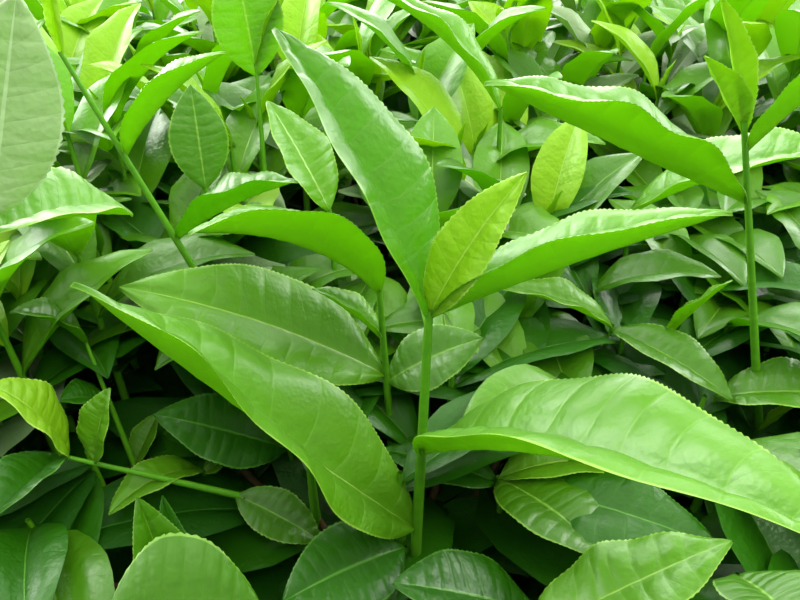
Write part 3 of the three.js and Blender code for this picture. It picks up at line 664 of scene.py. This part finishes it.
def bark_material():
    material, tree, shader = new_material("bark", "#6a5a49", 0.88)
    where = node(tree, "ShaderNodeTexCoord").outputs["Object"]
    drawn_out = node(tree, "ShaderNodeMapping", {"Vector": where, "Scale": (1.0, 1.0, 0.3)}).outputs[0]
    cracks = node(tree, "ShaderNodeTexVoronoi", {"Vector": drawn_out, "Scale": per_metre(CRACK_SIZE)},
                  feature="DISTANCE_TO_EDGE").outputs["Distance"]
    grain = node(tree, "ShaderNodeTexNoise", {"Vector": drawn_out, "Scale": per_metre(GRAIN_SIZE),
                                              "Detail": 8.0, "Roughness": 0.6}).outputs["Fac"]
    patches = node(tree, "ShaderNodeTexNoise", {"Vector": where, "Scale": per_metre(LICHEN_SIZE),
                                                "Detail": 5.0}).outputs["Fac"]
    wood = node(tree, "ShaderNodeValToRGB", {"Fac": grain})
    wood.color_ramp.elements[0].color = colour("#3a2c21")
    wood.color_ramp.elements[0].position = 0.32
    wood.color_ramp.elements[1].color = colour("#8d7a64")
    wood.color_ramp.elements[1].position = 0.7
    lichen = node(tree, "ShaderNodeValToRGB", {"Fac": patches})
    lichen.color_ramp.elements[0].position = 0.56
    lichen.color_ramp.elements[1].position = 0.66
    shade = node(tree, "ShaderNodeMix", {0: lichen.outputs[0], 6: wood.outputs[0], 7: colour("#9a9c86")},
                 data_type="RGBA")
    tree.links.new(shade.outputs[2], shader.inputs["Base Color"])
    depth = node(tree, "ShaderNodeMath", {0: cracks, 1: 0.25}, operation="MINIMUM").outputs[0]
    height = node(tree, "ShaderNodeMath", {0: depth, 1: 3.0, 2: grain},
                  operation="MULTIPLY_ADD").outputs[0]
    bump = node(tree, "ShaderNodeBump", {"Height": height, "Strength": 0.8, "Distance": 0.0015})
    tree.links.new(bump.outputs[0], shader.inputs["Normal"])
    return material


# Leaf tints, youngest first: upper side, underside, midrib and margin, side veins, the light that
# comes through, roughness and wax.
TINTS = [
    ("young", "#8cbc18", "#98d020", "#b0d854", "#98c430", "#aed62c", 0.36, 0.5),
    ("fresh", "#5e9614", "#8aca1a", "#90bc3e", "#6ea42a", "#9cd028", 0.34, 1.0),
    ("full", "#487c0e", "#70b016", "#78a834", "#568a22", "#88c226", 0.3, 0.95),
    ("mature", "#2b6607", "#4e940f", "#54902c", "#3a7416", "#5ea81a", 0.32, 0.55),
    ("old", "#1b5204", "#347010", "#3e7424", "#286010", "#488c14", 0.42, 0.25),
    # pale: painted sheen, the sky's pale reflection painted into the leaf colour.
    ("pale", "#92ac7a", "#98b87a", "#b2cc9c", "#98b47e", "#98bc66", 0.36, 0.8),
]
YOUNG, MATURE, OLD, PAINTED_SHEEN = 0, 3, 4, 5
UNDERSIDE_ROUGHNESS, UNDERSIDE_WAX = 0.5, 0.2

# Each part of a leaf has its own relief and lets its own share of the light through.
leaf_materials = []
for tint, top, under, rib, vein, through, gloss, wax in TINTS:
    leaf_materials += [
        leaf_material(f"leaf_{tint}_top", top, through, gloss, 0.42, 0.45, wax),
        leaf_material(f"leaf_{tint}_underside", under, through, UNDERSIDE_ROUGHNESS, 0.4, 0.68,
                      UNDERSIDE_WAX),
        leaf_material(f"leaf_{tint}_midrib", rib, through, gloss, 0.1, 0.4, wax),
        leaf_material(f"leaf_{tint}_side_vein", vein, through, gloss, 0.1, 0.48, wax)]
green_stem = stem_material("green_stem", "#5c9a18", "#3c7a10", 0.4)
brown_twig = stem_material("brown_twig", "#6b5236", "#3f2f20", 0.75)
bark = bark_material()


def leaf_slots(tint, kinds):
    """The material slot of each face of a leaf of one tint."""
    return LEAF_PARTS * tint + kinds


# The frame: trunk, boughs and branches.

def curve_points(points, shares):
    """Points of a smooth curve through the given ones, each stretch timed by the root of its length."""
    points = [np.asarray(p, float) for p in points]
    out = []
    for share in shares:
        at = (len(points) - 1) * share
        i = min(int(at), len(points) - 2)
        w = at - i
        p1, p2 = points[i], points[i + 1]
        p0 = points[i - 1] if i > 0 else 2 * p1 - p2
        p3 = points[i + 2] if i + 2 < len(points) else 2 * p2 - p1
        d0, d1, d2 = (math.sqrt(np.linalg.norm(b - a)) for a, b in ((p0, p1), (p1, p2), (p2, p3)))
        t1 = ((p1 - p0) / d0 - (p2 - p0) / (d0 + d1) + (p2 - p1) / d1) * d1
        t2 = ((p2 - p1) / d1 - (p3 - p1) / (d1 + d2) + (p3 - p2) / d2) * d1
        out.append(p1 + t1 * w + (3 * (p2 - p1) - 2 * t1 - t2) * w ** 2
                   + (2 * (p1 - p2) + t1 + t2) * w ** 3)
    return np.array(out)


TRUNK_POINTS = [(0, 0, -GROUND_CUT), (0, 0, TRUNK_HEIGHT * 0.3),
                (TRUNK_LEAN * 0.5, 0, TRUNK_HEIGHT * 0.65), (TRUNK_LEAN, 0, TRUNK_HEIGHT)]
BOUGH_START = 0.66
BOUGH_BENDS = ((58, 160), (108, 236), (158, 340))
WANDER = 14
START_SPREAD = 0.1
BRANCH_SAG = (12, 22)
# The bark's relief: ridges drawn out along the limb, lumps and fine grain. The scales are per
# millimetre, and the heights are shares of the limb's radius.
RIDGE_SCALE, RIDGES_PER_SCALE, RIDGE_STRETCH, RIDGE_HEIGHT = 0.045, 2.6, 0.35, 0.05
LUMP_SCALE, LUMP_HEIGHT = 0.02, 0.05
FINE_SCALE, FINE_HEIGHT = 0.35, 0.02


def trunk_radius(share):
    height = max(0, curve_points(TRUNK_POINTS, [share])[0][2])
    flare = max(0, 1 - height / FLARE_HEIGHT) ** 2
    swell = 1 + FORK_SWELL * math.sin(math.pi * max(0, share - 0.45))
    crown = 1 - 0.75 * max(0, (share - 0.86) / 0.14) ** 3
    return (TRUNK_RADIUS * swell + (FLARE_RADIUS - TRUNK_RADIUS) * flare) * crown


def bough_points(mass):
    random = seeded(mass["seed"], 1)

    def wander():
        return WANDER * (random() - 0.5)

    points = [curve_points(TRUNK_POINTS, [BOUGH_START])[0]]
    out = max(mass["tip_radius"], 1) / RING["tip_radius"]
    for radius, height in BOUGH_BENDS:
        bend = around(radius * out, mass["bearing"], height)
        lean = TRUNK_LEAN * (1 - radius / RING["tip_radius"])
        points.append(bend + np.array((lean + wander(), wander(), wander())))
    points.append(around(mass["tip_radius"], mass["bearing"], mass["tip_height"]))
    return points


def branch_points(mass, bough):
    random = seeded(mass["seed"], 1)
    start = curve_points(bough, [BRANCH_START + START_SPREAD * random()])[0]
    end = around(mass["tip_radius"], mass["bearing"], mass["tip_height"])
    bend = lerp(start, end, 0.5)
    bend[2] -= lerp(*BRANCH_SAG, random())
    return [start, bend, end]


def limb_mesh(name, points, radius_at, sides, steps, level_foot=False):
    """A limb with its bark's ridges, lumps and fine grain as real relief."""
    shares = np.linspace(0, 1, steps + 1)
    centre = curve_points(points, shares)
    radii = np.array([radius_at(s) for s in shares])
    corners, faces, places = tube(centre, radii, sides)
    spine = np.repeat(centre, sides, 0)
    out = corners - spine
    relief = np.empty(len(corners))
    for i, corner in enumerate(corners):
        at = Vector(corner) * RIDGE_SCALE
        at.z *= RIDGE_STRETCH
        ridges = 0.5 - abs(noise.noise(at * RIDGES_PER_SCALE)) * 2
        relief[i] = (RIDGE_HEIGHT * ridges + LUMP_HEIGHT * noise.noise(Vector(corner) * LUMP_SCALE)
                     + FINE_HEIGHT * noise.noise(Vector(corner) * FINE_SCALE))
    corners = spine + out * (1 + relief)[:, None]
    if level_foot:
        corners[:, 2] = np.maximum(corners[:, 2], 0)
    heap = Heap()
    heap.add(corners, faces, 0, places)
    for end, order in ((0, -1), (steps, 1)):
        first = end * sides
        cap = [(first, first + 1 + k, first + 2 + k, first + 3 + k) for k in range(0, sides - 3, 2)]
        heap.add(np.empty((0, 3)), np.array(cap)[:, ::order] - heap.count, 0, np.empty((0, 2)))
    return heap.piece(name, [bark], "bark", [])


masses = crown_masses()
middle, ring, rim = masses[0], masses[1:1 + RING_COUNT], masses[1 + RING_COUNT:]
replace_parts(limb_mesh("trunk_bark", TRUNK_POINTS, trunk_radius, 56, 60, level_foot=True), "trunk")
for mass in [middle] + ring:
    mass["limb"] = bough_points(mass)
    name = mass["name"].replace("foliage", "bough")
    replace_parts(limb_mesh(name + "_bark", mass["limb"],
                          lambda s: lerp(BOUGH_FOOT_RADIUS, BOUGH_TIP_RADIUS, s), 16, 70), name)
for i, mass in enumerate(rim):
    mass["limb"] = branch_points(mass, ring[((i + 1) // 2) % RING_COUNT]["limb"])
    name = mass["name"].replace("foliage_rim", "branch")
    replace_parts(limb_mesh(name + "_bark", mass["limb"],
                          lambda s: lerp(BRANCH_FOOT_RADIUS, BRANCH_TIP_RADIUS, s), 12, 44), name)


# The foliage.

FORWARD = np.array((0, math.cos(math.radians(CAMERA_DIP)), -math.sin(math.radians(CAMERA_DIP))))
OVERHEAD = np.array((0, math.sin(math.radians(CAMERA_DIP)), math.cos(math.radians(CAMERA_DIP))))
GRID = 10
VIEW_MARGIN = 40
NEAR, FAR = 600, 900
NEAR_ROWS, MIDDLE_ROWS, FAR_ROWS, TEST_ROWS = 12, 6, 5, 4
INNER_ROWS, FAR_INNER_ROWS = 4, 3
PLACED_GAP = 5
SOLID_GAP = 0.5

# Tints: the share of leaves above this chance gets the pale tint, a painted sheen, the others grow
# older from tip to foot, and older still where the shoot is short or its mass stands low.
PAINTED_SHEEN_FROM = 0.88
TIP_AGE, AGE_DOWN, AGE_LOW, AGE_SPREAD = 0.6, 2.4, 0.5, 1.8
SHORT_SHOOT = 20

# Round stems, as radii along them, and the bud at the tip of a shoot that stands up far enough.
SHOOT_RADII = (2.2, 1.9, 1.5, 1.0)
TWIG_RADII = (3.4, 3.0, 2.6, 2.3, 2.1)
INNER_TWIG_RADII = (3.2, 2.9, 2.6, 2.2, 1.6)
TWIG_SIDES = 4
BUD_RISE = 12
BUD = dict(rise=80, droop=10, length=26, width=6, fold=60, roll=0, twist=0)
INNER_LENGTH = (66, 91)
INNER_OLD = 0.6


def in_photo(points):
    """Where points fall in the photograph's frame, and how far off they are."""
    from_camera = np.atleast_2d(points) - CAMERA_PLACE
    depth = from_camera @ FORWARD
    safe = np.maximum(depth, 1)
    across_frame = IMAGE_WIDTH / 2 + FOCAL_PIXELS * from_camera[:, 0] / safe
    down_frame = IMAGE_HEIGHT / 2 - FOCAL_PIXELS * (from_camera @ OVERHEAD) / safe
    return across_frame, down_frame, depth


def leaf_points(leaf):
    """The upper sheet's corners of a leaf in its plainest form, to test where it lies."""
    corners = blade(leaf, TEST_ROWS, FAR_ACROSS)[0]
    return corners[:len(corners) // 2]


placed_leaves = []
for foot, tip, leaves in PLACED_SHOOTS:
    for share, heading, rise, droop, length, width, fold, roll, twist, tint in leaves:
        base = lerp(np.array(foot, float), np.array(tip, float), min(share, SEAT))
        placed_leaves.append(dict(base=base, heading=heading, rise=rise, droop=droop, length=length,
                                  width=width, fold=fold, roll=roll, twist=twist, tint=tint))

# Finer shoots keep clear of the placed leaves, and don't stand in front of them in the front view.
placed_cloud = np.vstack([blade(leaf, 40, FINE_ACROSS)[0] for leaf in placed_leaves])
placed_tree = kdtree.KDTree(len(placed_cloud))
for i, point in enumerate(placed_cloud):
    placed_tree.insert(point, i)
placed_tree.balance()
farthest = np.zeros((IMAGE_HEIGHT // GRID + 2, IMAGE_WIDTH // GRID + 2))
for px, py, depth in zip(*in_photo(placed_cloud)):
    if 0 <= px < IMAGE_WIDTH and 0 <= py < IMAGE_HEIGHT:
        row, column = int(py) // GRID, int(px) // GRID
        farthest[row, column] = max(farthest[row, column], depth)


def open_to_view(points):
    """True if none of the points stands in front of a placed leaf."""
    for px, py, depth in zip(*in_photo(points)):
        if depth > 1 and 0 <= px < IMAGE_WIDTH and 0 <= py < IMAGE_HEIGHT:
            if depth < farthest[int(py) // GRID, int(px) // GRID]:
                return False
    return True


def fits(mass, leaf):
    """True if a leaf keeps to its mass's space, clear of the placed leaves and out of their view."""
    points = leaf_points(leaf)
    return (all(in_space(mass, point, -WALL_OVERLAP) for point in points[::3])
            and all(placed_tree.find(point)[2] > PLACED_GAP for point in points)
            and open_to_view(points))


def detail(leaf):
    """Rows and places across for a leaf: finer where it is in the photograph's frame and near."""
    px, py, depth = (values[0] for values in in_photo(leaf["base"]))
    inside = (-VIEW_MARGIN < px < IMAGE_WIDTH + VIEW_MARGIN
              and -VIEW_MARGIN < py < IMAGE_HEIGHT + VIEW_MARGIN)
    if not inside or not 0 < depth < FAR:
        return FAR_ROWS, FAR_ACROSS
    return (NEAR_ROWS, NEAR_ACROSS) if depth < NEAR else (MIDDLE_ROWS, MIDDLE_ACROSS)


def add_leaf(heap, leaf, tint):
    corners, faces, kinds, places = blade(leaf, *detail(leaf))
    heap.add(corners, faces, leaf_slots(tint, kinds), places)


def add_placed_leaf(heap, leaf):
    """A placed leaf, with its side veins and toothed edge."""
    rows = (VEIN_PAIRS + 1) * max(4, round(leaf["length"] / TOOTH_ROW / (VEIN_PAIRS + 1)))
    halves = SHORT_ACROSS if leaf["length"] < SHORT_LEAF else FINE_ACROSS
    corners, faces, kinds, places = blade(leaf, rows, halves, True)
    heap.add(corners, faces, leaf_slots(leaf["tint"], kinds), places)


def solid_points(name):
    """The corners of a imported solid, to find which of the rule's leaves it holds."""
    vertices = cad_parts[name].data.vertices
    tree = kdtree.KDTree(len(vertices))
    for i, vertex in enumerate(vertices):
        tree.insert(vertex.co / MM, i)
    tree.balance()
    return tree


def bend_between(a, b, sag):
    return [lerp(a, b, s) + UP * sag * math.sin(math.pi * s) for s in np.linspace(0, 1, 5)]


def pick_tint(up, rise, low, chance):
    """Young leaves stand at the tips of high shoots, old ones low in the crown; some get painted sheen.
    """
    if chance > PAINTED_SHEEN_FROM and up < 0.9 and not low:
        return PAINTED_SHEEN
    age = (TIP_AGE + (1 - up) * AGE_DOWN + (rise < SHORT_SHOOT) + AGE_LOW * low
           + (chance / PAINTED_SHEEN_FROM - 0.5) * AGE_SPREAD)
    return int(min(max(age, YOUNG), OLD))


def grow_free(mass, leaves, greens, twigs):
    tree = solid_points(mass["name"])
    for i in range(mass["shoots"] + mass["finer"]):
        shoot = free_shoot(mass, i)
        random = seeded(mass["seed"], i, 40)
        in_solid = i < mass["shoots"]
        form = (LEAVES_ON_SHOOT, 1.0, 1.0) if in_solid else (FINER_LEAVES, FINER_SIZE, FINER_BREADTH)
        grown = 0
        for j in range(mass["leaves"] if in_solid else FINER_LEAVES):
            for attempt in range(TRIES):
                leaf = free_leaf(mass, shoot, i, j, attempt, *form)
                if tree.find(leaf_tip(leaf))[2] <= SOLID_GAP if in_solid else fits(mass, leaf):
                    tint = pick_tint(j / (form[0] - 1), shoot["rise"], mass["low"], random())
                    add_leaf(leaves, leaf, tint)
                    grown += 1
                    break
        if not grown:
            continue
        ahead = unit(shoot["tip"] - shoot["foot"])
        stem = [lerp(shoot["foot"], shoot["tip"], s) for s in (0, 0.4, 0.75, 1.0)]
        corners, faces, places = tube(stem, SHOOT_RADII)
        greens.add(corners, faces, 0, places)
        inner = bend_between(mass["hub"], shoot["foot"] + ahead * 4, -8)
        corners, faces, places = tube(inner, TWIG_RADII, TWIG_SIDES)
        twigs.add(corners, faces, 0, places)
        if shoot["rise"] > BUD_RISE:
            bud = dict(BUD, base=shoot["tip"] - ahead * 2, heading=shoot["bearing"])
            add_leaf(leaves, bud, YOUNG)
        grow_inner(mass, shoot["foot"], seeded(mass["seed"], i, 41), leaves)
    for i in range(mass["inner_twigs"]):
        random = seeded(mass["seed"], i, 42)
        radius = lerp(mass["inner"], min(mass["outer"], CROWN_RADIUS - 40), 0.08 + 0.84 * random())
        bearing = mass["bearing"] + mass["spread"] * (2 * random() - 1)
        low, high = mass["inner_heights"]
        end = around(radius, bearing, lerp(low, high, random()))
        corners, faces, places = tube(bend_between(mass["hub"], end, 6), INNER_TWIG_RADII, TWIG_SIDES)
        twigs.add(corners, faces, 0, places)
        grow_inner(mass, end, random, leaves)


def grow_inner(mass, end, random, leaves):
    """Old leaves in the shade, along the twig that runs from a mass's hub."""
    for k in range(mass["inner_leaves"]):
        base = lerp(mass["hub"], end, 0.35 + 0.64 * (k + random()) / mass["inner_leaves"])
        length = lerp(*INNER_LENGTH, random())
        leaf = dict(base=base, heading=360 * random(), rise=45 * random() - 10, droop=30 * random(),
                    length=length, width=length * LEAF_SLENDERNESS, fold=18,
                    roll=30 * (random() - 0.5), twist=0)
        if fits(mass, leaf):
            rows = FAR_INNER_ROWS if detail(leaf)[0] == FAR_ROWS else INNER_ROWS
            corners, faces, kinds, places = blade(leaf, rows, FAR_ACROSS)
            tint = OLD if random() < INNER_OLD else MATURE
            leaves.add(corners, faces, leaf_slots(tint, kinds), places)


def grow_placed(mass, greens, twigs):
    """The stems and twigs of the placed shoots; a stem is as thick as its largest leaf needs."""
    for foot, tip, members in mass["placed"]:
        foot, tip = np.array(foot, float), np.array(tip, float)
        stem = [lerp(foot, tip, s) for s in np.linspace(0, 1, 9)]
        thick = STEM_LEAST + STEM_GROWTH * max(leaf[4] for leaf in members)
        corners, faces, places = tube(stem, np.linspace(thick, thick / 2, 9), 10)
        greens.add(corners, faces, 0, places)
        corners, faces, places = tube(bend_between(mass["hub"], foot, -4), np.linspace(3.6, 2.8, 5), 8)
        twigs.add(corners, faces, 0, places)


stem_heap, twig_heap = Heap(), Heap()
groups = {
    "leaves_middle": [middle],
    "leaves_ring_front": [ring[0], ring[1], ring[5]],
    "leaves_ring_back": ring[2:5],
    "leaves_rim_right": rim[:3],
    "leaves_rim_back_right": rim[3:6],
    "leaves_rim_back_left": rim[6:9],
    "leaves_rim_left": rim[9:],
}
front_leaves = Heap()
for leaf in placed_leaves:
    add_placed_leaf(front_leaves, leaf)
front_leaves.piece("leaves_front_shoots", leaf_materials, "foliage", [])
for name, members in groups.items():
    heap = Heap()
    for mass in members:
        grow_placed(mass, stem_heap, twig_heap)
        grow_free(mass, heap, stem_heap, twig_heap)
    heap.piece(name, leaf_materials, "foliage", [mass["name"] for mass in members])
for mass in masses:
    tip = np.array(mass["limb"][-1], float)
    before = curve_points(mass["limb"], [0.97])[0]
    way = unit(tip - before)
    bend = tip + way * np.linalg.norm(mass["hub"] - tip) * 0.4
    stem = [(1 - s) ** 2 * tip + 2 * s * (1 - s) * bend + s * s * mass["hub"]
            for s in np.linspace(0, 1, 8)]
    thick = BOUGH_TIP_RADIUS if mass["outer"] <= RING_RADIUS else BRANCH_TIP_RADIUS
    corners, faces, places = tube(stem, np.linspace(thick, thick * 0.7, 8), 10)
    twig_heap.add(corners, faces, 0, places)
stem_heap.piece("green_stems", [green_stem], "foliage", [])
twig_heap.piece("brown_twigs", [brown_twig], "bark", [])


# Floor, light and camera.

LIGHT_AIM = (0, 0, 0.6)
FLOOR_REACH = 40
FLOOR_COLOUR = "#7b7a75"
FLOOR_ROUGHNESS = 0.9


def area_light(name, place, size, power, shines=True):
    """A round lamp that faces the crown; one that doesn't shine leaves no highlight on the leaves."""
    light = bpy.data.lights.new(name, "AREA")
    light.shape = "DISK"
    light.size = size
    light.energy = power
    lamp = bpy.data.objects.new(name, light)
    lamp.location = place
    lamp.visible_camera = False
    lamp.visible_glossy = shines
    lamp.rotation_euler = (Vector(LIGHT_AIM) - Vector(place)).to_track_quat("-Z", "Y").to_euler()
    bpy.context.scene.collection.objects.link(lamp)


floor_mesh = bpy.data.meshes.new("floor")
floor_mesh.from_pydata([(x * FLOOR_REACH, y * FLOOR_REACH, 0)
                        for x, y in ((-1, -1), (1, -1), (1, 1), (-1, 1))], [], [(0, 1, 2, 3)])
floor = bpy.data.objects.new("floor", floor_mesh)
bpy.context.scene.collection.objects.link(floor)
floor.data.materials.append(new_material("pale_floor", FLOOR_COLOUR, FLOOR_ROUGHNESS)[0])


WORLD_COLOUR = "#f1f3ec"
WORLD_FADE = (-0.3, 0.9)


def soft_world(dim, bright, side):
    """Soft studio light all round that grows towards one side, as from a wide window."""
    world = bpy.data.worlds.new("studio")
    bpy.context.scene.world = world
    world.use_nodes = True
    tree = world.node_tree
    way = node(tree, "ShaderNodeTexCoord").outputs["Generated"]
    facing = node(tree, "ShaderNodeVectorMath", {0: way, 1: Vector(side).normalized()},
                  operation="DOT_PRODUCT").outputs["Value"]
    strength = node(tree, "ShaderNodeMapRange", {"Value": facing, "From Min": WORLD_FADE[0],
                                                 "From Max": WORLD_FADE[1], "To Min": dim,
                                                 "To Max": bright},
                    interpolation_type="SMOOTHSTEP").outputs[0]
    backdrop = tree.nodes["Background"]
    backdrop.inputs["Color"].default_value = colour(WORLD_COLOUR)
    tree.links.new(strength, backdrop.inputs["Strength"])


soft_world(0.65, 2.5, (-0.6, 0.72, 0.35))
area_light("left_softbox", (-2.5, 1.6, 2.0), 3.0, 245)
area_light("right_softbox", (2.4, 1.2, 2.2), 1.6, 60)
area_light("back_softbox", (0.2, 3.2, 2.0), 2.4, 90)
area_light("overhead", (0.7, -0.8, 3.0), 2.4, 120, shines=False)
bpy.context.scene.view_settings.view_transform = "Standard"

camera = bpy.data.cameras.new("camera")
camera.sensor_width = SENSOR_WIDTH
camera.lens = FOCAL_PIXELS / IMAGE_WIDTH * SENSOR_WIDTH
camera.clip_start = 0.01
view = bpy.data.objects.new("camera", camera)
view.location = CAMERA_PLACE * MM
view.rotation_euler = (math.radians(90 - CAMERA_DIP), 0, 0)
bpy.context.scene.collection.objects.link(view)
bpy.context.scene.camera = view
